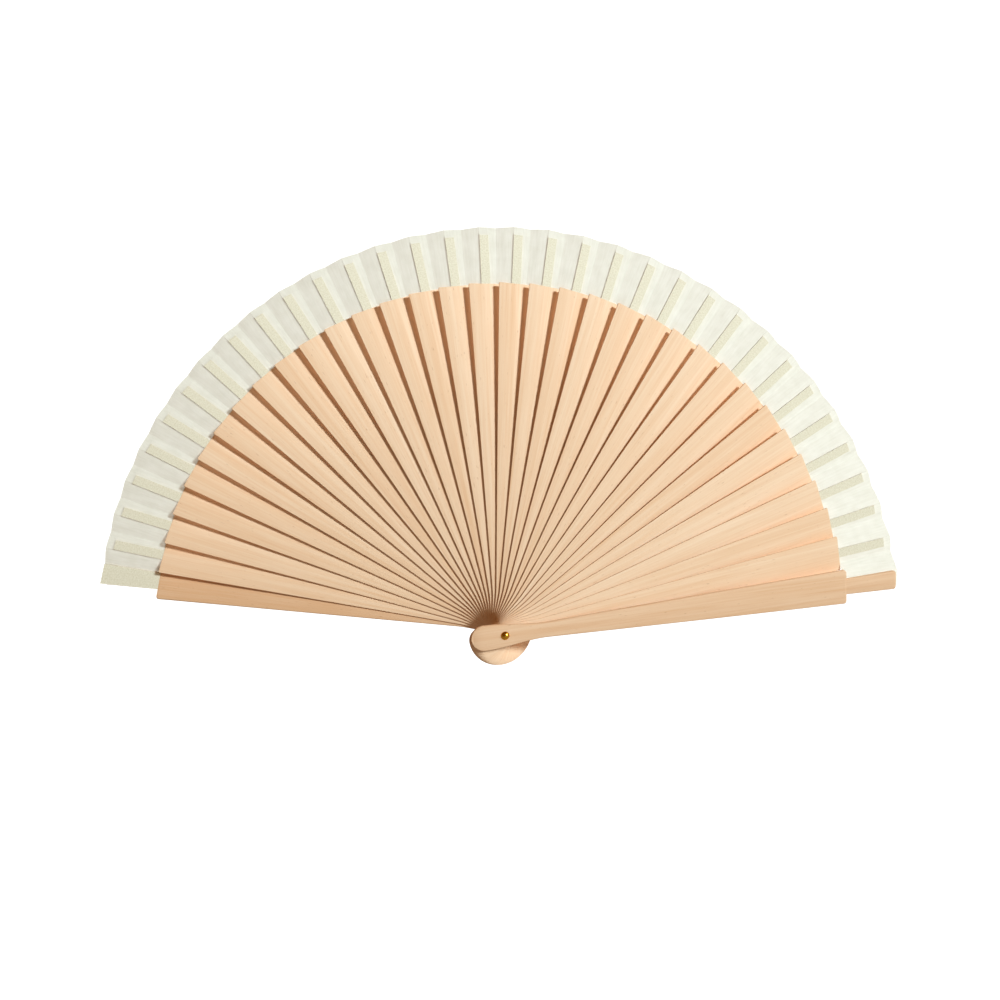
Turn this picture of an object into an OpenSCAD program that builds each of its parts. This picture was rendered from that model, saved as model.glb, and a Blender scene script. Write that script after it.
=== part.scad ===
// Folding hand fan with a pleated cloth leaf on flat wooden sticks.
// It is drawn fully open and upright: +X to the right, +Z up, and the side that
// faces the viewer is -Y. The rivet's axis runs along Y through the origin.
// The rear guard is at the left and furthest back. Each stick to its right lies
// one pitch nearer the viewer, up to the front guard at the right.

/* [Opening] */
// Direction of the rear guard, in degrees up from +X
rear_angle = 171.9; // [165:0.1:178]
// Turn from the rear guard to the first rib, in degrees
first_step = 4.5; // [4:0.05:5]
// Turn from each rib to the next, in degrees
rib_step = 4.985; // [4.5:0.005:5.2]
// Turn from the last rib to the front guard, in degrees
last_step = 5.6; // [5:0.05:6.5]

/* [Sticks] */
// From the rivet to the shoulder, where a stick narrows to its tongue
shoulder_l = 183; // [176:0.5:183]
// Width of a stick at its shoulder
shoulder_w = 18.9; // [14:0.1:19]
// Width of a stick at its neck, just above the rivet
neck_w = 7.8; // [6:0.1:10]
// From the rivet to the neck, where the taper starts
neck_l = 21; // [16:0.5:30]
// Width of the rounded head behind the rivet
head_w = 13.1; // [10:0.1:16]
// From the rivet to the rounded end of a guard's head
guard_head_l = 17.5; // [14:0.1:22]
// From the rivet to the rounded end of a rib's head
rib_head_l = 18.6; // [14:0.1:22]
// Thickness of a rib
rib_t = 0.8; // [0.5:0.05:1]
// From one rib's face to the next rib's face
rib_pitch = 1.0; // [1:0.05:1.5]
// Thickness of a guard
guard_t = 2.5; // [1.5:0.1:4]

/* [Tongues] */
// From the rivet to the square end of a rib's tongue
rib_tongue_l = 208.5; // [196:0.5:211]
// Width of a rib's tongue
rib_tongue_w = 5; // [3:0.1:7]
// Thickness of a rib's tongue, thinned on both faces so that the leaf fits
rib_tongue_t = 0.5; // [0.3:0.05:0.5]
// From the rivet to the end of a guard's tongue
guard_tongue_l = 210.5; // [196:0.5:211]
// Width of a guard's tongue at its root
guard_tongue_root_w = 8.6; // [6:0.1:10]
// Width of a guard's tongue at its end
guard_tongue_tip_w = 10.4; // [8:0.1:12]
// Radius of the rounded corners at the shoulders and ends
corner_r = 1.1; // [0.5:0.1:2]

/* [Leaf] */
// Inner radius of the pleated leaf
leaf_in_r = 183.6; // [183.6:0.1:188]
// Outer radius of the pleated leaf
leaf_out_r = 212.5; // [211.5:0.5:216]
// Thickness of the cloth, with its glue
leaf_t = 0.2; // [0.1:0.05:0.3]
// Angle of the pleat panel that each rib's tongue carries, in degrees
panel_angle = 2.56; // [2.3:0.02:2.7]
// How far each valley lies behind the face of the tongue beside it
valley_d = 1.5; // [0.5:0.1:2.5]

/* [Rivet] */
// Diameter of the rivet's shank
shank_d = 2.5; // [2:0.1:3]
// Diameter of the domed head at the front
dome_d = 4.3; // [3.5:0.1:6]
// Height of the domed head
dome_h = 1.3; // [0.8:0.1:2]
// Diameter of the burr washer at the back
burr_d = 5.4; // [4.5:0.1:7]
// Thickness of the burr washer
burr_t = 0.5; // [0.3:0.1:1]

/* [Hidden] */
$fn = 64;
rib_count = 32;
glue_gap = 0.02; // between the cloth and the wood, so that no two solids meet
seat_gap = 0.05; // between the rivet's ends and the guards
bore_d = shank_d + 0.1; // the sticks turn freely on the shank
rib_gap = rib_pitch - rib_t;
tongue_root = 2; // how far a tongue's root runs into the body
stack_t = 2 * guard_t + rib_count * rib_pitch + rib_gap;
back_y = stack_t / 2; // back face of the rear guard
front_y = -stack_t / 2; // front face of the front guard
wood = "#e3bd95";
cloth = "#efeade";
metal = "#b9852f";

// Direction of each stick. 0 is the rear guard and rib_count + 1 the front guard.
function angle_of(k) =
    k == 0 ? rear_angle
    : k <= rib_count ? rear_angle - first_step - (k - 1) * rib_step
    : rear_angle - first_step - (rib_count - 1) * rib_step - last_step;

// Y of each rib's front face
function face_of(k) = back_y - guard_t - k * rib_pitch;

// Half the width of a stick, l mm from the rivet: the head narrows to the neck
// along a cosine, then the stick widens in a straight taper to its shoulder.
// Here c is how far the head's centre lies behind the rivet.
function head_c(head_l) = head_l - head_w / 2;
function waist_share(l, c) = 0.5 + 0.5 * cos(180 * (l + c) / (neck_l + c));
function half_w(l, c) =
    l < neck_l ? neck_w / 2 + (head_w - neck_w) / 2 * waist_share(l, c)
    : neck_w / 2 + (shoulder_w - neck_w) / 2 * (l - neck_l) / (shoulder_l - neck_l);

// Four points around a rounded corner whose sharp point is [l, w]. The arc
// starts at a0 degrees and turns clockwise by 90 degrees.
function corner(l, w, a0) =
    [for (i = [0:3])
        [l - corner_r + corner_r * cos(a0 - 30 * i),
         w - corner_r + corner_r * sin(a0 - 30 * i)]];

// The upper side of a stick's body, from its head to its shoulder
function body_side(c) = concat(
    [for (i = [0:12]) let (l = -c + i * (neck_l + c) / 12) [l, half_w(l, c)]],
    corner(shoulder_l, shoulder_w / 2, 90));

// The upper side of a tongue, whose root runs a little way into the body
function tongue_side(root_w, tip_w, end_l) = concat(
    [[shoulder_l - tongue_root, root_w / 2]],
    corner(end_l, tip_w / 2, 90));

// A side and its mirror image below the centre line, as one outline
function both_sides(upper) = concat(
    upper,
    [for (i = [len(upper) - 1:-1:0]) [upper[i][0], -upper[i][1]]]);

// A flat stick from one board, its head end round and its rivet hole bored. The
// tongue may be thinner than the body, and lies in the middle of its thickness.
module stick(k, y0, c, t, tongue_t, root_w, tip_w, end_l) {
    translate([0, y0 + t, 0])
        rotate([0, -angle_of(k), 0])
            rotate([90, 0, 0])
                difference() {
                    union() {
                        linear_extrude(t) polygon(both_sides(body_side(c)));
                        translate([0, 0, (t - tongue_t) / 2])
                            linear_extrude(tongue_t)
                                polygon(both_sides(tongue_side(root_w, tip_w, end_l)));
                        translate([-c, 0, 0]) cylinder(d = head_w, h = t);
                    }
                    translate([0, 0, -1]) cylinder(d = bore_d, h = t + 2);
                }
}

module rib(k) {
    color(wood)
        stick(k, face_of(k), head_c(rib_head_l), rib_t, rib_tongue_t,
              rib_tongue_w, rib_tongue_w, rib_tongue_l);
}

module guard(k, y0) {
    color(wood)
        stick(k, y0, head_c(guard_head_l), guard_t, guard_t,
              guard_tongue_root_w, guard_tongue_tip_w, guard_tongue_l);
}

module rear_guard() { guard(0, back_y - guard_t); }
module front_guard() { guard(rib_count + 1, front_y); }
module rib_01() { rib(1); }
module rib_02() { rib(2); }
module rib_03() { rib(3); }
module rib_04() { rib(4); }
module rib_05() { rib(5); }
module rib_06() { rib(6); }
module rib_07() { rib(7); }
module rib_08() { rib(8); }
module rib_09() { rib(9); }
module rib_10() { rib(10); }
module rib_11() { rib(11); }
module rib_12() { rib(12); }
module rib_13() { rib(13); }
module rib_14() { rib(14); }
module rib_15() { rib(15); }
module rib_16() { rib(16); }
module rib_17() { rib(17); }
module rib_18() { rib(18); }
module rib_19() { rib(19); }
module rib_20() { rib(20); }
module rib_21() { rib(21); }
module rib_22() { rib(22); }
module rib_23() { rib(23); }
module rib_24() { rib(24); }
module rib_25() { rib(25); }
module rib_26() { rib(26); }
module rib_27() { rib(27); }
module rib_28() { rib(28); }
module rib_29() { rib(29); }
module rib_30() { rib(30); }
module rib_31() { rib(31); }
module rib_32() { rib(32); }

// The shank with its domed front head and the low dome that closes it at the back
module rivet() {
    dome_r = (dome_d * dome_d / 4 + dome_h * dome_h) / (2 * dome_h);
    tail_h = dome_h / 2;
    tail_d = shank_d * 1.4;
    tail_r = (tail_d * tail_d / 4 + tail_h * tail_h) / (2 * tail_h);
    shank_l = stack_t + 3 * seat_gap + burr_t;
    color(metal)
        translate([0, front_y - seat_gap, 0])
            rotate([-90, 0, 0]) {
                cylinder(d = shank_d, h = shank_l);
                intersection() {
                    translate([0, 0, dome_r - dome_h]) sphere(r = dome_r);
                    translate([0, 0, -dome_h]) cylinder(d = dome_d + 1, h = dome_h);
                }
                intersection() {
                    translate([0, 0, shank_l + tail_h - tail_r]) sphere(r = tail_r);
                    translate([0, 0, shank_l]) cylinder(d = tail_d + 1, h = tail_h);
                }
            }
}

// The washer that the rivet's tail is closed over
module rivet_burr() {
    color(metal)
        translate([0, back_y + seat_gap, 0])
            rotate([-90, 0, 0])
                difference() {
                    cylinder(d = burr_d, h = burr_t);
                    translate([0, 0, -1]) cylinder(d = shank_d + 0.04, h = burr_t + 2);
                }
}

// A place on the leaf: beside the centre line of stick k by u mm, r mm from the
// rivet's axis. Left of the centre line is positive u.
function beside(k, u, r, y) =
    let (a = angle_of(k) + asin(u / r)) [r * cos(a), y, r * sin(a)];

// A place on the leaf at an angle to the right of a rib's ridge
function past_ridge(k, turn, r, y) =
    let (a = angle_of(k) + asin(rib_tongue_w / 2 / r) - turn) [r * cos(a), y, r * sin(a)];

// Half the width of a guard's tongue at radius r
function guard_half(r) =
    let (share = (r - shoulder_l) / (guard_tongue_l - shoulder_l))
    (guard_tongue_root_w + (guard_tongue_tip_w - guard_tongue_root_w) * share) / 2;

// The cloth's back face across the whole fan at radius r. It lies on the rear
// guard's tongue, drops to a valley after each tongue, climbs to the ridge at the
// left edge of the next one, and ends behind the front guard's tongue.
function leaf_line(r) =
    let (rear_y = back_y - guard_t - glue_gap,
         last_y = front_y + guard_t + glue_gap + leaf_t)
    concat(
        [beside(0, guard_half(r), r, rear_y),
         beside(0, -guard_half(r) - 0.4, r, rear_y)],
        [for (k = [1:rib_count], i = [0:2])
            let (y = face_of(k) + (rib_t - rib_tongue_t) / 2 - glue_gap)
            i == 0 ? beside(k, rib_tongue_w / 2, r, y)
            : i == 1 ? beside(k, -rib_tongue_w / 2 - 0.4, r, y)
            : past_ridge(k, panel_angle, r, face_of(k) + valley_d)],
        [beside(rib_count + 1, guard_half(r), r, last_y),
         beside(rib_count + 1, -guard_half(r), r, last_y)]);

// The leaf as one closed sheet: four lines of points, joined side by side
module leaf() {
    inner = leaf_line(leaf_in_r);
    outer = leaf_line(leaf_out_r);
    n = len(inner);
    shift = [0, -leaf_t, 0];
    points = concat(inner, outer, [for (p = outer) p + shift], [for (p = inner) p + shift]);
    strips = [for (s = [0:3], i = [0:n - 2])
        let (a = s * n, b = (s + 1) % 4 * n)
        [a + i, b + i, b + i + 1, a + i + 1]];
    sides = [for (f = strips, half = [0:1])
        half == 0 ? [f[0], f[1], f[2]] : [f[0], f[2], f[3]]];
    start = [[0, 3 * n, 2 * n], [0, 2 * n, n]];
    end = [[n - 1, 2 * n - 1, 3 * n - 1], [n - 1, 3 * n - 1, 4 * n - 1]];
    color(cloth) polyhedron(points, concat(sides, start, end), convexity = 10);
}

rear_guard();
rib_01();
rib_02();
rib_03();
rib_04();
rib_05();
rib_06();
rib_07();
rib_08();
rib_09();
rib_10();
rib_11();
rib_12();
rib_13();
rib_14();
rib_15();
rib_16();
rib_17();
rib_18();
rib_19();
rib_20();
rib_21();
rib_22();
rib_23();
rib_24();
rib_25();
rib_26();
rib_27();
rib_28();
rib_29();
rib_30();
rib_31();
rib_32();
front_guard();
rivet();
rivet_burr();
leaf();
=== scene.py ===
import math

import bpy
import numpy as np
from mathutils import Matrix, Vector


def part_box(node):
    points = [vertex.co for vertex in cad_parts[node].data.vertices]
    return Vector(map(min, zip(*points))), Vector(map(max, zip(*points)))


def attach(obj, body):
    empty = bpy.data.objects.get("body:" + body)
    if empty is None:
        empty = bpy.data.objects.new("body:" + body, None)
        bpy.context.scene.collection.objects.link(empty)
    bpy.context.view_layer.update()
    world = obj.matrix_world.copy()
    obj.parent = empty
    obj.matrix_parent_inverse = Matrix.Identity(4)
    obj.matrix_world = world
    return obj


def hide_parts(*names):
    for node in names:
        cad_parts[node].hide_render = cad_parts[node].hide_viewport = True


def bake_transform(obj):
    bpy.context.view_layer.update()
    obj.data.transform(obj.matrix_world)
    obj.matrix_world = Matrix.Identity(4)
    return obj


# %% [markdown]
# # A pleated folding fan in Blender
# The fan is thirty-four wooden sticks on one brass rivet, with a strip of pale
# cloth glued across their thin ends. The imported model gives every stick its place
# and its turn about the rivet. This lesson dresses that frame: the sticks become
# twisted, rounded slips of wood, the leaf becomes folded cloth, and the rivet
# becomes turned brass. Everything is in metres, with X to the right, Z up, and the
# viewer in front at -Y.

# %% Load the frame
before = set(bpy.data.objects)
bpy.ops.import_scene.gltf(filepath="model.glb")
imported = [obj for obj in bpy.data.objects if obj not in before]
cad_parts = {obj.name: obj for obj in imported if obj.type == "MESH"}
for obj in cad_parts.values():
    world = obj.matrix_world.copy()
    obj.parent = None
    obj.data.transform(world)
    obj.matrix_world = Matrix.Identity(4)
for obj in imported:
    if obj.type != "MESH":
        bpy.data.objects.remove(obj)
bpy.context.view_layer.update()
MM = 0.001
RIBS = 32
STICKS = ["rear_guard"] + [f"rib_{k:02d}" for k in range(1, RIBS + 1)] + ["front_guard"]

# %% [markdown]
# ## Reading a stick's place
# A stick is symmetric about its centre line, so the mean of its farthest corners
# lies on that line. Its polar angle is the stick's turn, and the middle of its
# depth says how far back it lies in the stack. Both come from the frame, so the
# wood can't drift away from the joints.

# %% Where each stick lies
FAR = 0.2


def far_middle(name):
    """The stick's turn, atan2(mean z, mean x) over the corners beyond FAR metres, and the
    middle of its depth."""
    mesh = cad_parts[name].data
    corners = np.empty(len(mesh.vertices) * 3)
    mesh.vertices.foreach_get("co", corners)
    corners = np.unique(corners.reshape(-1, 3).round(7), axis=0)
    far = corners[np.hypot(corners[:, 0], corners[:, 2]) > FAR].mean(axis=0)
    low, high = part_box(name)
    return math.atan2(far[2], far[0]), (low[1] + high[1]) / 2


PLACES = [far_middle(name) for name in STICKS]
print("turns, deg:", [round(math.degrees(turn), 2) for turn, _ in PLACES[:3]], "...",
      round(math.degrees(PLACES[-1][0]), 2))

# %% [markdown]
# ## Twist
# The cloth pulls each thin end round, so a stick isn't flat: its left edge comes
# forward and its right edge goes back, more and more towards the leaf. Each stick
# has the same twist, so they still nest when the fan is closed. On the open fan each
# raised edge casts a narrow shade on its neighbour, wider and wider outwards, and
# those are the dark lines one sees.

# %% The twist and a stick's own coordinates
TWIST_AT = np.array([22, 60, 109, 183, 210.5]) * MM
TWIST = np.radians([0, 2, 5.5, 12.5, 14])


def place(along, side, deep, turn, depth):
    """A point of a stick in the world. It turns by the twist T about the centre line,
    side' = side cos T + deep sin T and deep' = deep cos T - side sin T. Then it goes out
    along the stick's turn A, to x = along cos A - side' sin A, y = depth + deep' and
    z = along sin A + side' cos A."""
    along, side, deep = np.broadcast_arrays(along, side, deep)
    twist = np.interp(along, TWIST_AT, TWIST)
    aside = side * np.cos(twist) + deep * np.sin(twist)
    back = deep * np.cos(twist) - side * np.sin(twist)
    return np.stack([along * math.cos(turn) - aside * math.sin(turn), depth + back,
                     along * math.sin(turn) + aside * math.cos(turn)], axis=-1)


print("twist, deg:", np.degrees(TWIST).round(1), "at mm:", (TWIST_AT / MM).round(1))

# %% [markdown]
# ## The shape of a stick
# From the maker's side a stick is one outline cut from a thin board: a round head
# behind the rivet, a narrow neck, a straight taper out to the shoulder, and then a
# narrow tongue that the cloth is glued to. It could be a bevelled extrusion, but a
# row of rounded rectangles carried along the centre line lets the stick twist
# smoothly and keeps the faces even.

# %% Sizes of the wood, in millimetres
HEAD_R = 6.55
NECK_L, NECK_HALF = 21, 3.9
SHOULDER_L, SHOULDER_HALF = 183, 9.45
RIB = dict(head_l=18.6, thick=0.8, tongue_thick=0.5, tongue_l=208.5, root=2.5, tip=2.5,
           edge=0.14, corner_r=0.4, tip_r=0.25)
GUARD = dict(head_l=17.5, thick=2.5, tongue_thick=2.5, tongue_l=210.5, root=4.3, tip=5.2,
             edge=0.8, corner_r=1.1, tip_r=1.1)


def body_half(along, middle):
    """Half the width before the shoulder: a cosine from the head's radius to the neck, then a
    straight taper."""
    share = (along - middle) / (NECK_L - middle)
    neck = NECK_HALF + (HEAD_R - NECK_HALF) * (0.5 + 0.5 * np.cos(np.pi * share))
    taper = NECK_HALF + (SHOULDER_HALF - NECK_HALF) * (along - NECK_L) / (SHOULDER_L - NECK_L)
    return np.where(along < NECK_L, neck, taper)


def stations(kind):
    """Rows of (distance along, half width, thickness). The head is a half circle, and
    each convex corner of radius r is l = L - r + r sin a with h = H - r (1 - cos a)."""
    head = np.radians(np.linspace(4, 90, 14))
    quarter = np.radians(np.linspace(0, 90, 6))
    thick, thin, centre = kind["thick"], kind["tongue_thick"], HEAD_R - kind["head_l"]
    rows = [(centre - HEAD_R * math.cos(a), HEAD_R * math.sin(a), thick) for a in head]
    corner = kind["corner_r"]
    middle = np.concatenate([np.linspace(centre, NECK_L, 16)[1:],
                             np.linspace(NECK_L, SHOULDER_L - corner, 24)[1:-1]])
    rows += [(x, h, thick) for x, h in zip(middle, body_half(middle, centre))]
    rows += [(SHOULDER_L - corner + corner * math.sin(a),
              SHOULDER_HALF - corner * (1 - math.cos(a)), thick) for a in quarter]
    length, root, tip, tip_r = kind["tongue_l"], kind["root"], kind["tip"], kind["tip_r"]
    reach = np.linspace(SHOULDER_L, length - tip_r, 9)
    half = root + (tip - root) * (reach - SHOULDER_L) / (length - SHOULDER_L)
    rows += [(x, h, thin) for x, h in zip(reach, half)]
    rows += [(length - tip_r + tip_r * math.sin(a), tip - tip_r * (1 - math.cos(a)), thin)
             for a in quarter[1:]]
    return np.array(rows)


print("rows along a rib and a guard:", len(stations(RIB)), len(stations(GUARD)))

# %% Carry a rounded rectangle along the rows
CORNER_POINTS = 4
RING_POINTS = 4 * CORNER_POINTS
WIDTH_SHARE, THICK_SHARE = 0.9, 0.45


def rounded_rings(rows, edge):
    """Rings in (along, deep, side): each corner is an arc of radius r about
    (half - r, thick / 2 - r), walked round the rectangle from its left back corner.
    r is the edge radius, but never more than a share of the half width or of the thickness."""
    quarters = [np.linspace(start, start + 90, CORNER_POINTS) for start in (0, 90, 180, 270)]
    angles = np.radians(np.concatenate(quarters))
    left = np.repeat([1, -1, -1, 1], CORNER_POINTS)[None, :]
    back = np.repeat([1, 1, -1, -1], CORNER_POINTS)[None, :]
    half, thick = rows[:, 1:2], rows[:, 2:3]
    r = np.minimum(np.minimum(edge, half * WIDTH_SHARE), thick * THICK_SHARE)
    side = left * (half - r) + r * np.cos(angles)
    deep = back * (thick / 2 - r) + r * np.sin(angles)
    return np.stack([np.repeat(rows[:, :1], len(angles), axis=1), deep, side], axis=-1) * MM


def tube_faces(rows, ring):
    """Quads (i, j), (i+1, j), (i+1, j+1), (i, j+1) round a tube, and one face to close each end."""
    i, j = np.meshgrid(np.arange(rows - 1), np.arange(ring), indexing="ij")
    k = (j + 1) % ring
    quads = np.stack([i * ring + j, (i + 1) * ring + j, (i + 1) * ring + k, i * ring + k], -1)
    ends = [list(range(ring)), list(range((rows - 1) * ring, rows * ring))[::-1]]
    return quads.reshape(-1, 4).tolist() + ends


def volume(mesh):
    """Signed volume: the sum over triangles of a . (b x c) / 6. It is positive if the faces
    point outwards."""
    mesh.calc_loop_triangles()
    tri = np.empty(len(mesh.loop_triangles) * 3, int)
    mesh.loop_triangles.foreach_get("vertices", tri)
    co = np.empty(len(mesh.vertices) * 3)
    mesh.vertices.foreach_get("co", co)
    a, b, c = co.reshape(-1, 3)[tri.reshape(-1, 3)].transpose(1, 0, 2)
    return float((a * np.cross(b, c)).sum() / 6)


print("points round a stick:", RING_POINTS)

# %% [markdown]
# ## The rivet hole
# A stick is drilled before it is threaded on the rivet. A boolean cuts a true hole
# once in a rib and once in a guard, and every other stick is a copy.

# %% Cut one rib and one guard
BORE_R, DRILL_HALF = 1.3, 4
DRILL_POINTS = 40


def solid(name, points, faces):
    """A mesh object from arrays, turned inside out if its volume comes out negative."""
    mesh = bpy.data.meshes.new(name)
    mesh.from_pydata(points.reshape(-1, 3), [], faces)
    if volume(mesh) < 0:
        mesh.flip_normals()
    mesh.validate()
    thing = bpy.data.objects.new(name, mesh)
    bpy.context.scene.collection.objects.link(thing)
    return thing


def drill():
    """A drill along Y: x = r cos a, z = r sin a, from -DRILL_HALF to +DRILL_HALF millimetres."""
    a = np.linspace(0, 2 * np.pi, DRILL_POINTS, endpoint=False)
    ring = np.stack([np.cos(a) * BORE_R * MM, np.zeros(DRILL_POINTS), np.sin(a) * BORE_R * MM], -1)
    reach = [0, DRILL_HALF * MM, 0]
    return solid("drill", np.stack([ring - reach, ring + reach]), tube_faces(2, DRILL_POINTS))


def drilled(name, kind):
    """The stick's mesh at no turn and no twist, after the hole is cut."""
    rows = stations(kind)
    blank = solid(name, rounded_rings(rows, kind["edge"]), tube_faces(len(rows), RING_POINTS))
    bit = drill()
    cut = blank.modifiers.new("hole", "BOOLEAN")
    cut.operation, cut.object, cut.solver = "DIFFERENCE", bit, "EXACT"
    evaluated = blank.evaluated_get(bpy.context.evaluated_depsgraph_get())
    shape = bpy.data.meshes.new_from_object(evaluated)
    bpy.data.objects.remove(blank)
    bpy.data.objects.remove(bit)
    print(name, "-", len(shape.vertices), "points,", round(volume(shape) * 1e9, 1), "mm3")
    return shape


rib_shape = drilled("rib_blank", RIB)
guard_shape = drilled("guard_blank", GUARD)

# %% [markdown]
# ## Grain follows the stick
# Wood grain has to run along each stick and stay there as the fan closes, so each
# stick carries its own flat coordinates as an attribute: distance along, across
# and through the wood, with a jump between sticks, since neighbours come from
# different places in the board. A second attribute gives the stick's own tone; on
# the two guards it is set darker, partly for their darker wood and partly as painted shade.

# %% Set out the thirty-four sticks
random = np.random.default_rng(34)
# The guards' tones are partly their darker wood and partly painted shade: the rear guard is
# darkened for lying in shade behind the stack, and the front guard is darkened all over for the
# shade towards its head.
GUARD_TONES_AND_SHADE = {"rear_guard": 1.0, "front_guard": 0.6}
WOOD_SHARP = math.radians(25)


def set_out(index, shape):
    """One stick: the shared shape put in its place, with its grain and tone as attributes."""
    name = STICKS[index]
    mesh = shape.copy()
    mesh.name = name + "_wood"
    co = np.empty(len(mesh.vertices) * 3)
    mesh.vertices.foreach_get("co", co)
    along, deep, side = co.reshape(-1, 3).T
    turn, depth = PLACES[index]
    mesh.vertices.foreach_set("co", place(along, side, deep, turn, depth).ravel())
    grain = mesh.attributes.new("grain", "FLOAT_VECTOR", "POINT")
    jump = random.uniform(0, 0.6, 3)
    flat = np.stack([along, side, deep], -1) + jump
    grain.data.foreach_set("vector", flat.astype(np.float32).ravel())
    tone = mesh.attributes.new("tone", "FLOAT", "POINT")
    own = GUARD_TONES_AND_SHADE.get(name, random.uniform(0, 1))
    tone.data.foreach_set("value", np.full(len(along), own, np.float32))
    mesh.shade_smooth()
    mesh.set_sharp_from_angle(angle=WOOD_SHARP)
    stick = bpy.data.objects.new(name + "_wood", mesh)
    bpy.context.scene.collection.objects.link(stick)
    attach(stick, name)
    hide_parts(name)
    return stick


sticks = [set_out(k, guard_shape if "guard" in name else rib_shape)
          for k, name in enumerate(STICKS)]
print("sticks:", len(sticks), "- volume of one, mm3:", round(volume(sticks[1].data) * 1e9, 1))

# %% [markdown]
# ## The leaf
# The leaf is one long strip of cloth. It is glued to the front of each tongue,
# drops away behind the next stick to a valley, and climbs back to the next tongue's
# left edge, where it wraps round the wood. It could be one mesh with a bone for
# each stick. Here it is made as a pleat for each gap between two sticks, and each
# meets the next along the ridge, where both are set out on the same stick.

# %% The line of one pleat, in millimetres
GAP = 0.06
IN_R, OUT_R = 183.02, 212.5
PANEL_TURN = math.radians(2.56)
CLOSING = 1.2


def tongue(index, radius):
    """A tongue's half width and half thickness at each radius. Past a rib's end the cloth
    closes on itself over CLOSING: thick (1 - p^2 (3 - 2 p)), with p from 0 to 1."""
    if "guard" in STICKS[index]:
        share = (radius - SHOULDER_L) / (GUARD["tongue_l"] - SHOULDER_L)
        half = GUARD["root"] + (GUARD["tip"] - GUARD["root"]) * share
        return half, np.full_like(radius, GUARD["tongue_thick"] / 2)
    past = np.clip((radius - RIB["tongue_l"]) / CLOSING, 0, 1)
    thick = RIB["tongue_thick"] / 2 * (1 - past * past * (3 - 2 * past))
    return np.full_like(radius, RIB["root"]), thick


def on_stick(index, radius, side, deep):
    """A place beside stick index, in metres, on the circle of that radius:
    along = sqrt(r^2 - side^2)."""
    turn, depth = PLACES[index]
    return place(np.sqrt(radius**2 - side**2) * MM, side * MM, deep * MM, turn, depth)


def soft_steps(count, crowd):
    """0 to 1 in count steps: the first and the last are crowd long and the others even, so that
    a crease is turned over a short way."""
    inner = np.linspace(crowd, 1 - crowd, count - 1)
    return np.concatenate([[0], inner, [1]])


def stretch(a, b, steps):
    """Straight lines from a to b: a + (b - a) s for each s."""
    return a[:, None] + (b - a)[:, None] * steps[None, :, None]


print("leaf from", IN_R, "to", OUT_R, "mm, panel turn", round(math.degrees(PANEL_TURN), 2), "deg")

# %% [markdown]
# Fresh pleats are nearly flat, but each panel bows a little and carries faint
# ripples from the folding. Both fade to nothing at the creases, where the cloth is
# held, and the ripples are largest along the free outer edge.

# %% Bow and ripple across a panel, in millimetres
BOW_DOWN, BOW_UP = 0.16, -0.18
WAVE_ACROSS, WAVE_ALONG = 0.10, 0.07


def ripple(steps, radius, bow, seed):
    """Depth in metres, sin(pi s) (bow + WAVE_ACROSS (0.4 + 0.6 z) sin(2 pi f s + p + 2 z)
    + WAVE_ALONG sin(2 pi f' z + p' + 2 s)), where s runs across the panel and z from the inner
    edge to the outer one. f, f', p, p' and a factor on the bow are drawn at random."""
    draw = np.random.default_rng(seed)
    z = ((radius - IN_R) / (OUT_R - IN_R))[:, None]
    s = steps[None, :]
    phases, rates = draw.uniform(0, 6.28, 3), draw.uniform(0.7, 1.4, 3)
    wave = WAVE_ACROSS * np.sin(6.28 * s * rates[0] + phases[0] + 2 * z) * (0.4 + 0.6 * z)
    wave = wave + WAVE_ALONG * np.sin(6.28 * z * rates[1] + phases[1] + 2 * s)
    return np.sin(np.pi * s) * (bow * draw.uniform(0.6, 1.3) + wave) * MM


sample = ripple(np.linspace(0, 1, 9), np.linspace(IN_R, OUT_R, 9), BOW_DOWN, 101)
print("deepest bow and ripple of one panel, mm:", round(float(sample.max() / MM), 2))

# %% [markdown]
# A pleat is a row of bands between fold lines. From the left they are the wrap round
# the tongue's edge, the strip glued on its face, a panel down to the valley, and a
# panel up to the next tongue. The first stick has no wrap, and behind the last one a
# further band is glued to the guard's back.

# %% The fold lines of a pleat
VALLEY_DEEP = 0.25
FIRST_SIDE, FIRST_DEEP = 0.5, 0.9
BACK_MARGIN = 0.6


def fold_lines(index, radius):
    """Points at each radius on six lines: the back and front of the tongue's left edge, its
    right front edge, the valley, the next tongue's back left edge, and its back right edge.
    The valley turns back from the left edge by PANEL_TURN. Beside the first guard, whose
    tongue is wide, it lies just past the right edge."""
    half, thick = tongue(index, radius)
    next_half, next_thick = tongue(index + 1, radius)
    face, edge = -thick - GAP, half + GAP
    if index == 0:
        valley = on_stick(index, radius, -half - FIRST_SIDE, face + FIRST_DEEP)
    else:
        turned = np.arcsin(edge / radius) - PANEL_TURN
        valley = on_stick(index, radius, radius * np.sin(turned), face + VALLEY_DEEP)
    return (on_stick(index, radius, edge, thick + GAP), on_stick(index, radius, edge, face),
            on_stick(index, radius, -half, face), valley,
            on_stick(index + 1, radius, next_half + GAP, next_thick + GAP),
            on_stick(index + 1, radius, -next_half + BACK_MARGIN, next_thick + GAP))


print("fold lines of one pleat:", len(fold_lines(5, np.array([IN_R, OUT_R]))))

# %% [markdown]
# The bands are filled with points that crowd towards the folds. At the inner edge
# the rising panel curls back a little, away from the next stick's shoulder.

# %% One pleat as a grid of points
ROWS = 20
TIP_STEP, INNER_STEPS = 0.12, (0.4, 0.8)
WRAP, STRIP, PANEL = soft_steps(3, 0.3), soft_steps(8, 0.03), soft_steps(12, 0.03)
CURL, CURL_REACH = 0.4, 0.9


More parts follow.
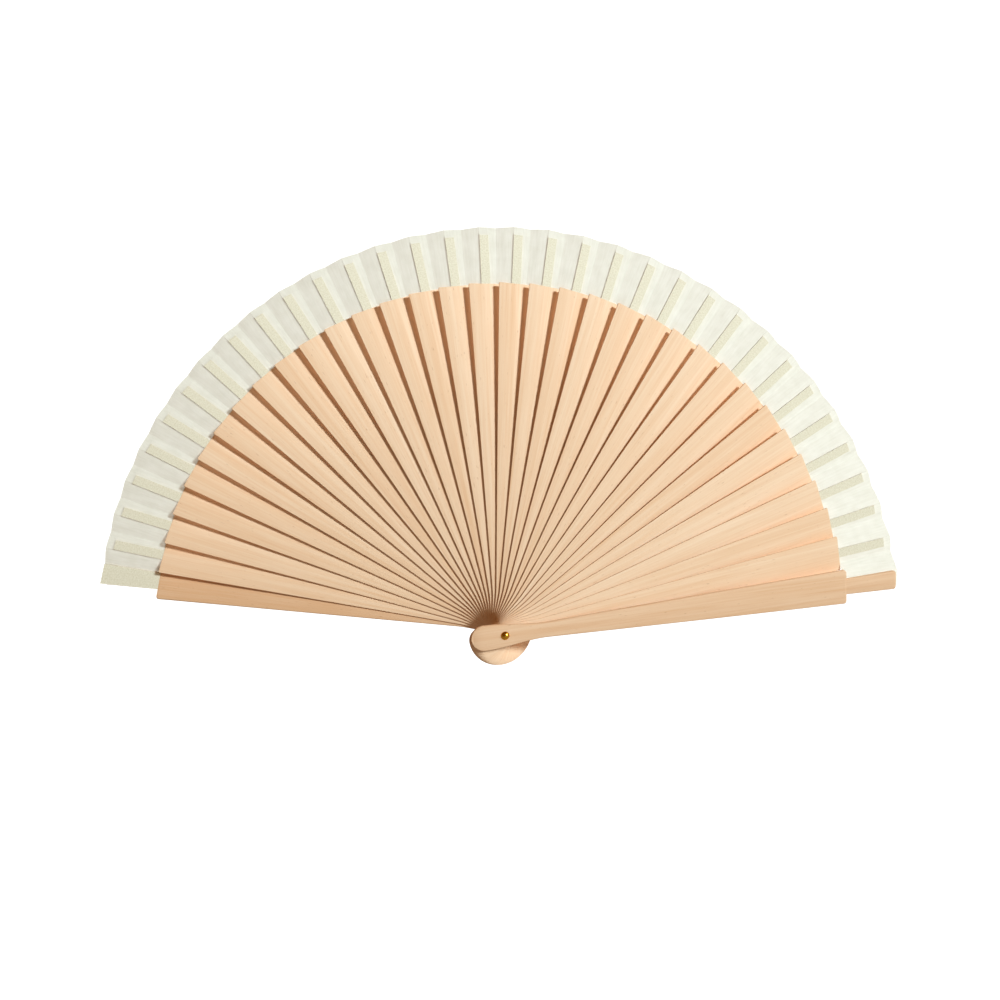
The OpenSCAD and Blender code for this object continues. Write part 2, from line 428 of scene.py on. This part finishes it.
def pleat_grid(index):
    """The pleat from stick index to the next, as rows x columns of points, with the mask that is
    1 over the tongue, the columns of the valley and of the next tongue, and each row's radius.
    The curl is CURL sqrt(sin(pi s)) exp(-(distance from the inner edge / CURL_REACH)^2)."""
    radius = np.linspace(IN_R, OUT_R, ROWS)
    tip = RIB["tongue_l"] if 0 < index <= RIBS else GUARD["tongue_l"]
    extra = [tip - TIP_STEP, tip + TIP_STEP] + [IN_R + step for step in INNER_STEPS]
    radius = np.sort(np.append(radius, extra))
    left_back, left_front, right_front, valley, next_left, next_right = fold_lines(index, radius)
    down = stretch(right_front, valley, PANEL)
    up = stretch(valley, next_left, PANEL)
    if index:
        down[..., 1] += ripple(PANEL, radius, BOW_DOWN, 100 + index)
    up[..., 1] += ripple(PANEL, radius, BOW_UP, 200 + index)
    fade = np.exp(-((radius - IN_R) / CURL_REACH) ** 2)[:, None]
    up[..., 1] += np.sin(np.pi * PANEL) ** 0.5 * CURL * MM * fade
    bands = [stretch(left_back, left_front, WRAP)] if index else []
    bands += [stretch(left_front, right_front, STRIP), down, up]
    if index == RIBS:
        bands += [stretch(next_left, next_right, STRIP)]
    grid = np.concatenate([band[:, (1 if n else 0):] for n, band in enumerate(bands)], axis=1)
    first, inset = (len(WRAP) - 1, 1) if index else (0, 0)
    over = np.zeros(grid.shape[:2])
    over[:, first + inset:first + len(STRIP) - inset] = 1
    if index:
        over[radius > tip] = 0
    valley_column = first + len(STRIP) - 1 + len(PANEL) - 1
    return grid, over, valley_column, valley_column + len(PANEL) - 1, radius


print("one pleat:", pleat_grid(5)[0].shape[:2], "points")

# %% [markdown]
# Each pleat carries the cloth's own flat coordinates as a UV map in metres: the
# distance across the weave, measured along the fold line, and the distance from
# the rivet. The weave is drawn in them, so it bends at every crease.

# %% Make the pleats
PLEAT_RUN = 0.0182


def sheet_faces(rows, columns):
    """Quads of a grid, wound so that the front (-Y) side is outside."""
    i, j = np.meshgrid(np.arange(rows - 1), np.arange(columns - 1), indexing="ij")
    a = i * columns + j
    return np.stack([a, a + 1, a + columns + 1, a + columns], -1).reshape(-1, 4)


def make_pleat(index):
    """One pleat as a mesh, with its UV map in metres and its mask over the tongue. The weave
    starts PLEAT_RUN metres further on for each."""
    grid, over, valley, end, radius = pleat_grid(index)
    rows, columns = grid.shape[:2]
    faces = sheet_faces(rows, columns)
    mesh = bpy.data.meshes.new(f"leaf_{index + 1:02d}")
    mesh.from_pydata(grid.reshape(-1, 3), [], faces.tolist())
    steps = np.linalg.norm(np.diff(grid[rows // 2], axis=0), axis=1)
    across = np.concatenate([[0], np.cumsum(steps)])
    u = np.broadcast_to(across + index * PLEAT_RUN, (rows, columns))
    v = np.broadcast_to(radius[:, None] * MM, (rows, columns))
    uv = np.stack([u, v], -1).reshape(-1, 2)
    loops = np.empty(len(mesh.loops), int)
    mesh.loops.foreach_get("vertex_index", loops)
    mesh.uv_layers.new(name="cloth").data.foreach_set("uv", uv[loops].astype(np.float32).ravel())
    mask = mesh.attributes.new("over_tongue", "FLOAT", "POINT")
    mask.data.foreach_set("value", over.astype(np.float32).ravel())
    mesh.shade_smooth()
    pleat = bpy.data.objects.new(mesh.name, mesh)
    bpy.context.scene.collection.objects.link(pleat)
    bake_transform(pleat)
    width = round(float(across[-1]), 4)
    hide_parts("leaf")
    return pleat, width


pleats, widths = zip(*[make_pleat(k) for k in range(RIBS + 1)])
print("pleats:", len(pleats), "- cloth used, m:", round(sum(widths), 3))

# %% [markdown]
# ## The rivet and its burr
# The rivet is turned brass wire: a low dome in front, a plain shank through the
# stack, and a tail that is hammered over a small washer, the burr. A profile spun
# about the rivet's axis gives all of it, and the ends close at the axis.

# %% Spin a profile about the rivet's axis
BRASS_SHARP = math.radians(35)


def arc(middle_y, middle_r, radius, start, stop, count):
    """Points (y, r) = (my + radius sin a, mr + radius cos a), with a in degrees."""
    a = np.radians(np.linspace(start, stop, count))
    return np.stack([middle_y + radius * np.sin(a), middle_r + radius * np.cos(a)], -1)


def spun(name, profile, around=48, closed=False):
    """x = r cos a, z = r sin a, y along the axis. An open profile starts and ends on the
    axis, where a fan of triangles closes it. A closed one makes a ring."""
    y, r = np.asarray(profile, float).T * MM
    a = np.linspace(0, 2 * np.pi, around, endpoint=False)
    inner = slice(None) if closed else slice(1, -1)
    points = np.stack([r[inner, None] * np.cos(a), np.repeat(y[inner, None], around, 1),
                       r[inner, None] * np.sin(a)], -1)
    n = len(points)
    i, j = np.meshgrid(np.arange(n if closed else n - 1), np.arange(around), indexing="ij")
    k, nxt = (i + 1) % n, (j + 1) % around
    faces = np.stack([i * around + j, k * around + j, k * around + nxt, i * around + nxt], -1)
    faces = faces.reshape(-1, 4).tolist()
    points = points.reshape(-1, 3)
    if not closed:
        tips = len(points)
        points = np.concatenate([points, [[0, y[0], 0], [0, y[-1], 0]]])
        faces += [[tips, m, (m + 1) % around] for m in range(around)]
        last = (n - 1) * around
        faces += [[tips + 1, last + (m + 1) % around, last + m] for m in range(around)]
    part = solid(name, points, faces)
    part.data.shade_smooth()
    part.data.set_sharp_from_angle(angle=BRASS_SHARP)
    return part


# %% The rivet, in millimetres
rivet_low, rivet_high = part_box("rivet")
burr_low, burr_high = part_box("rivet_burr")
FRONT, BACK = rivet_low[1] / MM, rivet_high[1] / MM
DOME_R, SHANK_R, TAIL_R = 2.15, 1.25, 1.72
LIP, TAIL_LIP, CLEAR = 0.18, 0.1, 0.03
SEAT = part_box("front_guard")[0][1] / MM - CLEAR
BURR_Y = burr_high[1] / MM


def bulge(radius, rise):
    """The radius of the sphere that a cap of that radius and rise is cut from,
    (radius^2 + rise^2) / (2 rise), and the angle in degrees that the cap spans from its middle."""
    sphere = (radius**2 + rise**2) / (2 * rise)
    return sphere, math.degrees(math.asin(radius / sphere))


dome, dome_half = bulge(DOME_R, SEAT - LIP - FRONT)
front_cap = arc(FRONT + dome, 0, dome, -90, -90 + dome_half, 12)
rim = [(SEAT - 0.06, DOME_R + 0.03), (SEAT, DOME_R - 0.05), (SEAT, SHANK_R)]
hammered, tail_half = bulge(TAIL_R, BACK - BURR_Y - TAIL_LIP)
tail = arc(BACK - hammered, 0, hammered, 90 - tail_half, 90, 9)
shank_end = [(BURR_Y + 0.02, SHANK_R), (BURR_Y + 0.02, TAIL_R - 0.05)]
rivet = spun("rivet_brass", [*front_cap, *rim, *shank_end, *tail])
print("dome and tail, mm:", round(2 * DOME_R, 2), round(2 * TAIL_R, 2))

# %% The burr
b0, b1, hole, out = burr_low[1] / MM, BURR_Y, SHANK_R + 0.02, 2.7
burr = spun("burr_brass", [(b0, hole + 0.06), (b0 + 0.06, hole), (b1 - 0.06, hole),
                           (b1, hole + 0.06), (b1, out - 0.16), (b1 - 0.05, out - 0.05),
                           (b1 - 0.16, out), (b0 + 0.1, out), (b0, out - 0.1)], closed=True)
for part, node in ((rivet, "rivet"), (burr, "rivet_burr")):
    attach(part, "rear_guard")
    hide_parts(node)
print("rivet and burr volumes, mm3:", [round(volume(o.data) * 1e9, 1) for o in (rivet, burr)])

# %% [markdown]
# ## Materials
# Colours are written as sRGB hex, as one would pick them from a swatch, and one
# function turns them to the linear values that Blender works in. One more small
# function adds a node with its settings and its links.

# %% Helpers for colours and nodes
def colour(hex_code):
    """sRGB hex to linear: c / 12.92 below 0.04045, else ((c + 0.055) / 1.055) ^ 2.4."""
    c = np.array([int(hex_code[i:i + 2], 16) for i in (1, 3, 5)]) / 255
    return (*np.where(c <= 0.04045, c / 12.92, ((c + 0.055) / 1.055) ** 2.4).tolist(), 1.0)


def add(tree, kind, inputs=(), **settings):
    """Add one node. settings are its properties, and inputs gives each socket a value or a link."""
    node = tree.nodes.new(kind)
    for name, value in settings.items():
        setattr(node, name, value)
    for key, value in dict(inputs).items():
        if isinstance(value, bpy.types.NodeSocket):
            tree.links.new(value, node.inputs[key])
        else:
            node.inputs[key].default_value = value
    return node


def material(name):
    """A new node material with its output, and nothing else yet."""
    surface = bpy.data.materials.new(name)
    surface.use_nodes = True
    surface.node_tree.nodes.clear()
    return surface, surface.node_tree


print("a mid grey, linear:", [round(c, 3) for c in colour("#808080")[:3]])

# %% [markdown]
# ## Pale close-grained wood
# The sticks are sanded, unvarnished wood of a pale, fine-pored kind. Light sinks in
# a little and comes back warm, so the surface is matt with only a soft sheen. Three
# patterns are laid in the stick's own coordinates: broad bands where one year's
# growth meets the next, fine fibre lines, and a few short brown flecks.

# %% Wood
# Cells to the metre along the stick, across it and through it.
BANDS = (7, 330, 330)  # 140 mm long, 3 mm apart
FIBRES = (28, 1150, 1150)  # 36 mm long, 0.9 mm apart
FLECKS = (380, 1900, 1900)  # 2.6 x 0.5 mm
BAND_SHARE, FIBRE_SHARE = 0.32, 0.30


def wood(name, pale, deep_tone, fleck, tone_share):
    """Sanded pale wood. The share of the deep tone is BAND_SHARE x bands + FIBRE_SHARE x fibres
    + tone_share x the tone (on the guards partly painted shade), then the flecks go over it."""
    surface, tree = material(name)
    grain = add(tree, "ShaderNodeAttribute", attribute_name="grain").outputs["Vector"]
    tone = add(tree, "ShaderNodeAttribute", attribute_name="tone").outputs["Fac"]
    bands_at = add(tree, "ShaderNodeVectorMath", {0: grain, 1: BANDS},
                   operation="MULTIPLY").outputs[0]
    bands = add(tree, "ShaderNodeTexNoise", {"Vector": bands_at, "Scale": 1, "Detail": 3,
                                             "Roughness": 0.55, "Distortion": 0.4}).outputs["Fac"]
    fibres_at = add(tree, "ShaderNodeVectorMath", {0: grain, 1: FIBRES},
                    operation="MULTIPLY").outputs[0]
    fibres = add(tree, "ShaderNodeTexNoise", {"Vector": fibres_at, "Scale": 1, "Detail": 2,
                                              "Roughness": 0.6}).outputs["Fac"]
    flecks_at = add(tree, "ShaderNodeVectorMath", {0: grain, 1: FLECKS},
                    operation="MULTIPLY").outputs[0]
    flecks = add(tree, "ShaderNodeTexNoise", {"Vector": flecks_at, "Scale": 1,
                                              "Detail": 0}).outputs["Fac"]
    band_mask = add(tree, "ShaderNodeMapRange", {0: bands, 1: 0.34, 2: 0.68, 3: 0, 4: 1}).outputs[0]
    fibre_mask = add(tree, "ShaderNodeMapRange", {0: fibres, 1: 0.35, 2: 0.7, 3: 0,
                                                  4: 1}).outputs[0]
    fleck_mask = add(tree, "ShaderNodeMapRange", {0: flecks, 1: 0.77, 2: 0.86, 3: 0,
                                                  4: 0.3}).outputs[0]
    share = add(tree, "ShaderNodeMath", {0: band_mask, 1: BAND_SHARE},
                operation="MULTIPLY").outputs[0]
    share = add(tree, "ShaderNodeMath", {0: fibre_mask, 1: FIBRE_SHARE, 2: share},
                operation="MULTIPLY_ADD").outputs[0]
    share = add(tree, "ShaderNodeMath", {0: tone, 1: tone_share, 2: share},
                operation="MULTIPLY_ADD").outputs[0]
    ground = add(tree, "ShaderNodeMix", {0: share, 6: colour(pale), 7: colour(deep_tone)},
                 data_type="RGBA").outputs[2]
    ground = add(tree, "ShaderNodeMix", {0: fleck_mask, 6: ground, 7: colour(fleck)},
                 data_type="RGBA").outputs[2]
    rough = add(tree, "ShaderNodeMapRange", {0: fibres, 1: 0.3, 2: 0.7, 3: 0.52,
                                             4: 0.66}).outputs[0]
    bump = add(tree, "ShaderNodeBump", {"Strength": 0.35, "Distance": 0.00003,
                                        "Height": fibres}).outputs[0]
    shader = add(tree, "ShaderNodeBsdfPrincipled",
                 {"Base Color": ground, "Roughness": rough, "Normal": bump, "IOR": 1.46,
                  "Specular IOR Level": 0.35}).outputs[0]
    add(tree, "ShaderNodeOutputMaterial", {0: shader})
    return surface


rib_wood = wood("sanded_pale_wood_ribs", "#f2d6bd", "#e3b893", "#a9754a", 0.16)
# The guards take a larger share of their tone, which is partly painted shade.
guard_wood = wood("sanded_pale_wood_guards", "#eed1b8", "#dbb08c", "#9c6b43", 0.55)
for stick in sticks:
    stick.data.materials.clear()
    stick.data.materials.append(guard_wood if "guard" in stick.name else rib_wood)
print("wood on", len(sticks), "sticks")

# %% [markdown]
# ## Thin cotton cloth
# The leaf is thin, sized cotton in an off-white. Its threads are about a quarter of
# a millimetre apart, too fine to show from here, so the weave is drawn at half a
# millimetre. A thin cloth lets light through, and where it is glued to a tongue
# the wood shows through it as a warmer, mottled strip.

# %% Cloth
THREAD = 0.5 * MM
SLUBS = (1100, 90, 0)  # threads that thicken: cells 0.9 mm wide and 11 mm long
CLOUDS, GLUE = 160, 1300  # cells to the metre: 6 mm in the cloth, 0.8 mm in the glue
THIN_PLAIN, THIN_GLUED = 0.42, 0.04


def cloth(name):
    """Plain weave: the height is sin(pi u / p) sin(pi v / p) for the thread spacing p, plus
    1.5 x slubs. Light goes through by THIN_PLAIN off a tongue and by THIN_GLUED on it."""
    surface, tree = material(name)
    uv = add(tree, "ShaderNodeUVMap", uv_map="cloth").outputs[0]
    mask = add(tree, "ShaderNodeAttribute", attribute_name="over_tongue").outputs["Fac"]
    woven_at = add(tree, "ShaderNodeVectorMath", {0: uv, 1: (math.pi / THREAD,) * 3},
                  operation="MULTIPLY").outputs[0]
    parts = add(tree, "ShaderNodeSeparateXYZ", {0: woven_at}).outputs
    warp = add(tree, "ShaderNodeMath", {0: parts[0]}, operation="SINE").outputs[0]
    weft = add(tree, "ShaderNodeMath", {0: parts[1]}, operation="SINE").outputs[0]
    weave = add(tree, "ShaderNodeMath", {0: warp, 1: weft}, operation="MULTIPLY").outputs[0]
    slub_at = add(tree, "ShaderNodeVectorMath", {0: uv, 1: SLUBS}, operation="MULTIPLY").outputs[0]
    slub = add(tree, "ShaderNodeTexNoise", {"Vector": slub_at, "Scale": 1,
                                            "Detail": 2}).outputs["Fac"]
    cloud = add(tree, "ShaderNodeTexNoise", {"Vector": uv, "Scale": CLOUDS,
                                             "Detail": 2}).outputs["Fac"]
    glue = add(tree, "ShaderNodeTexNoise", {"Vector": uv, "Scale": GLUE, "Detail": 3,
                                            "Roughness": 0.7}).outputs["Fac"]
    threads = add(tree, "ShaderNodeMapRange", {0: slub, 1: 0.3, 2: 0.7, 3: 0, 4: 0.5}).outputs[0]
    clouds = add(tree, "ShaderNodeMapRange", {0: cloud, 1: 0.3, 2: 0.7, 3: 0, 4: 0.5}).outputs[0]
    share = add(tree, "ShaderNodeMath", {0: threads, 1: clouds}, operation="ADD").outputs[0]
    plain = add(tree, "ShaderNodeMix", {0: share, 6: colour("#f2f0e8"), 7: colour("#e8e5dc")},
                data_type="RGBA").outputs[2]
    mottle = add(tree, "ShaderNodeMapRange", {0: glue, 1: 0.35, 2: 0.65, 3: 0, 4: 1}).outputs[0]
    glued = add(tree, "ShaderNodeMix", {0: mottle, 6: colour("#ebe5d6"), 7: colour("#dad2be")},
                data_type="RGBA").outputs[2]
    ground = add(tree, "ShaderNodeMix", {0: mask, 6: plain, 7: glued}, data_type="RGBA").outputs[2]
    height = add(tree, "ShaderNodeMath", {0: slub, 1: 1.5, 2: weave},
                 operation="MULTIPLY_ADD").outputs[0]
    bump = add(tree, "ShaderNodeBump", {"Strength": 0.3, "Distance": 0.00003,
                                        "Height": height}).outputs[0]
    front = add(tree, "ShaderNodeBsdfPrincipled",
                {"Base Color": ground, "Roughness": 0.85, "Normal": bump,
                 "Specular IOR Level": 0.2, "Sheen Weight": 0.15}).outputs[0]
    lit = add(tree, "ShaderNodeMix", {0: share, 6: colour("#f6f8f5"), 7: colour("#e9ebe4")},
              data_type="RGBA").outputs[2]
    through = add(tree, "ShaderNodeBsdfTranslucent", {"Color": lit, "Normal": bump}).outputs[0]
    thin = add(tree, "ShaderNodeMapRange", {0: mask, 1: 0, 2: 1, 3: THIN_PLAIN,
                                            4: THIN_GLUED}).outputs[0]
    both = add(tree, "ShaderNodeMixShader", {0: thin, 1: front, 2: through}).outputs[0]
    add(tree, "ShaderNodeOutputMaterial", {0: both})
    return surface


leaf_cloth = cloth("thin_sized_cotton")
for pleat in pleats:
    pleat.data.materials.append(leaf_cloth)
print("cloth on", len(pleats), "pleats")

# %% [markdown]
# ## Brass
# The rivet is bright drawn brass that has dulled a little, so it reflects in warm
# gold with soft edges and has faint marks from the hammer.

# %% Brass
PATCHES = 2000  # cells to the metre, 0.5 mm across


def brass(name):
    """Dulled brass: metallic 1, with the roughness from 0.18 to 0.34 in patches."""
    surface, tree = material(name)
    at = add(tree, "ShaderNodeTexCoord").outputs["Object"]
    patch = add(tree, "ShaderNodeTexNoise", {"Vector": at, "Scale": PATCHES,
                                             "Detail": 2}).outputs["Fac"]
    rough = add(tree, "ShaderNodeMapRange", {0: patch, 1: 0.3, 2: 0.7, 3: 0.18, 4: 0.34}).outputs[0]
    ground = add(tree, "ShaderNodeMix", {0: patch, 6: colour("#e2b252"), 7: colour("#c98f35")},
                 data_type="RGBA").outputs[2]
    bump = add(tree, "ShaderNodeBump", {"Strength": 0.25, "Distance": 0.00002,
                                        "Height": patch}).outputs[0]
    shader = add(tree, "ShaderNodeBsdfPrincipled", {"Base Color": ground, "Metallic": 1.0,
                                                    "Roughness": rough, "Normal": bump}).outputs[0]
    add(tree, "ShaderNodeOutputMaterial", {0: shader})
    return surface


rivet_brass = brass("bright_drawn_brass")
for part in (rivet, burr):
    part.data.materials.append(rivet_brass)
print("brass on the rivet and its burr")

# %% [markdown]
# ## Floor and surround
# The fan is shown upright against white, over a plain pale floor that lies well
# below it. The camera sees both as plain white. What they throw back on the fan is
# weaker, and the surround's part of it is warm, which fills the shade between the
# sticks with the colour of light that has come off other wood.

# %% The floor
FLOOR_Z, FLOOR_R, FLOOR_POINTS = -0.30, 6, 64
SEEN_WHITE = 1.05
floor_mesh = bpy.data.meshes.new("floor")
ring = np.linspace(0, 2 * np.pi, FLOOR_POINTS, endpoint=False)
floor_points = np.stack([FLOOR_R * np.cos(ring), FLOOR_R * np.sin(ring),
                         np.full(FLOOR_POINTS, FLOOR_Z)], -1)
floor_mesh.from_pydata(floor_points, [], [list(range(FLOOR_POINTS))])
floor = bpy.data.objects.new("floor", floor_mesh)
bpy.context.scene.collection.objects.link(floor)
floor_white, floor_tree = material("white_paper_floor")
floor_face = add(floor_tree, "ShaderNodeBsdfDiffuse", {"Color": colour("#b4aea6")}).outputs[0]
floor_glow = add(floor_tree, "ShaderNodeEmission", {"Color": (1, 1, 1, 1),
                                                    "Strength": SEEN_WHITE}).outputs[0]
floor_seen = add(floor_tree, "ShaderNodeLightPath").outputs["Is Camera Ray"]
floor_both = add(floor_tree, "ShaderNodeMixShader", {0: floor_seen, 1: floor_face,
                                                     2: floor_glow}).outputs[0]
add(floor_tree, "ShaderNodeOutputMaterial", {0: floor_both})
floor_mesh.materials.append(floor_white)
print("floor at z =", FLOOR_Z, "m")

# %% The surround
SURROUND, SURROUND_TINT = 0.185, (1, 0.54, 0.20, 1)
world = bpy.data.worlds.new("white_surround")
bpy.context.scene.world = world
world.use_nodes = True
world.node_tree.nodes.clear()
seen = add(world.node_tree, "ShaderNodeLightPath").outputs["Is Camera Ray"]
strength = add(world.node_tree, "ShaderNodeMapRange", {0: seen, 1: 0, 2: 1, 3: SURROUND,
                                                       4: SEEN_WHITE}).outputs[0]
tint = add(world.node_tree, "ShaderNodeMix", {0: seen, 6: SURROUND_TINT, 7: (1, 1, 1, 1)},
           data_type="RGBA").outputs[2]
sky = add(world.node_tree, "ShaderNodeBackground", {"Color": tint, "Strength": strength}).outputs[0]
add(world.node_tree, "ShaderNodeOutputWorld", {0: sky})
print("surround:", SURROUND, "of white")

# %% [markdown]
# ## Light
# One lamp stands to the right, in front and a little above. It comes from far
# enough aside for each stick to throw a narrow shade on its left neighbour. A large
# second lamp behind shines through the cloth.

# %% Lamps
FAN_MIDDLE = np.array([0, 0, 0.09])


def lamp(name, toward, distance, size, power, tint):
    """An area lamp out along the direction toward, facing the middle of the fan."""
    light = bpy.data.lights.new(name, "AREA")
    light.shape, light.size, light.energy, light.color = "DISK", size, power, tint
    holder = bpy.data.objects.new(name, light)
    bpy.context.scene.collection.objects.link(holder)
    way = np.array(toward, float)
    way /= np.linalg.norm(way)
    holder.location = FAN_MIDDLE + way * distance
    holder.visible_camera = False
    holder.rotation_euler = Vector(way).to_track_quat("Z", "Y").to_euler()
    return holder


lamps = [lamp("key_right", (0.60, -0.73, 0.34), 3.0, 0.50, 78, (0.90, 1.035, 1.05)),
         lamp("glow_behind", (0.62, 0.78, 0.30), 2.2, 1.6, 46, (0.90, 0.94, 0.95))]
print("lamps, W:", {holder.name: holder.data.energy for holder in lamps})

# %% [markdown]
# ## Camera
# The camera is close, half a metre away, and looks a little from the left, so the
# near end of the stack is larger than the far end and the heads don't hide each
# other. Three directions at right angles give its turn.

# %% Camera
AZIMUTH, ELEVATION = math.radians(-5.28), math.radians(1.72)
DISTANCE, AIM_RIGHT, AIM_UP = 0.497, -0.00096, 0.0690
LOOK = np.array([-math.sin(AZIMUTH) * math.cos(ELEVATION), math.cos(AZIMUTH) * math.cos(ELEVATION),
                 -math.sin(ELEVATION)])
RIGHT = np.array([math.cos(AZIMUTH), math.sin(AZIMUTH), 0])
UP = np.cross(RIGHT, LOOK)
AIM = AIM_RIGHT * RIGHT + AIM_UP * UP
view = bpy.data.cameras.new("view")
view.sensor_width, view.lens = 36, 33.62
view.clip_start, view.clip_end = 0.01, 50
camera = bpy.data.objects.new("view", view)
bpy.context.scene.collection.objects.link(camera)
camera.location = AIM - DISTANCE * LOOK
camera.rotation_euler = Matrix(np.array([RIGHT, UP, -LOOK]).T.tolist()).to_euler()
bpy.context.scene.camera = camera
bpy.context.scene.view_settings.view_transform = "Standard"
bpy.context.scene.view_settings.look = "Medium High Contrast"
print("camera at", [round(float(c), 4) for c in camera.location])
